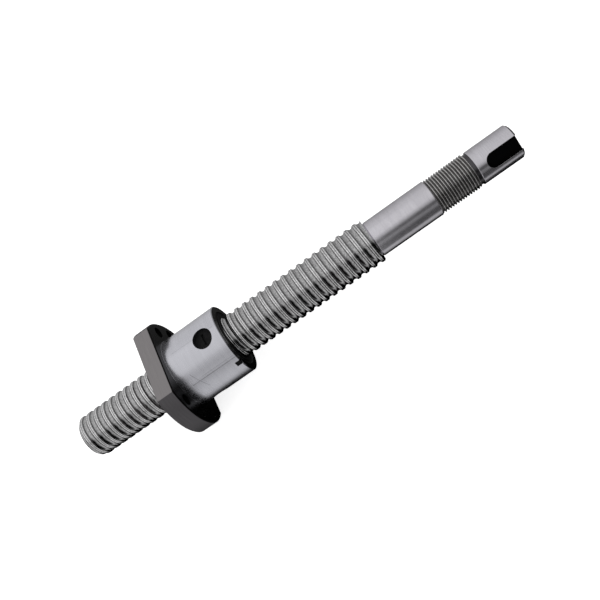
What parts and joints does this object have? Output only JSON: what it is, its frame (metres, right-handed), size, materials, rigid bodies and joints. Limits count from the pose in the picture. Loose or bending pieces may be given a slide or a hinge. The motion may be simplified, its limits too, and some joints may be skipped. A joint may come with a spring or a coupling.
{
  "type": "ball screw assembly",
  "caption": "Rolled ball screw with a flanged recirculating ball nut, a bearing journal, a locknut thread and a keyed drive end.",
  "frame": {"origin": "centre of the flange's mounting face, the one on the nut body's side, on the screw axis", "axes": "+X along the screw axis towards the keyed drive end, +Z the normal of one of the two flange flats, +Y completes a right-handed frame"},
  "size_m": [0.2705, 0.063, 0.048],
  "materials": {
    "nut_steel": "ground",
    "screw_steel": "rolled and ground",
    "deflector_plastic": "moulded",
    "ball_steel": "polished",
    "wiper_plastic": "moulded",
    "spring_steel": "drawn wire"
  },
  "bodies": {
    "nut": {"nut_body": "nut_steel", "deflector_1": "deflector_plastic", "deflector_2": "deflector_plastic", "deflector_3": "deflector_plastic", "balls_circuit_1": "ball_steel", "balls_circuit_2": "ball_steel", "balls_circuit_3": "ball_steel", "wiper_front": "wiper_plastic", "wiper_rear": "wiper_plastic"},
    "garter_springs": {"garter_spring_front": "spring_steel", "garter_spring_rear": "spring_steel"},
    "screw": {"screw_shaft": "screw_steel"}
  },
  "joints": [
    {"name": "screw_spin", "type": "hinge", "parent": "nut", "child": "garter_springs", "pos_m": [0, 0, 0], "axis": [1, 0, 0], "range_deg": [-5940, 3600]},
    {"name": "screw_feed", "type": "slide", "parent": "garter_springs", "child": "screw", "axis": [1, 0, 0], "range_m": [-0.0826, 0.0501]}
  ],
  "couplings": [
    {"joint": "screw_feed", "follows": "screw_spin", "m_per_rad": 0.00079577}
  ]
}
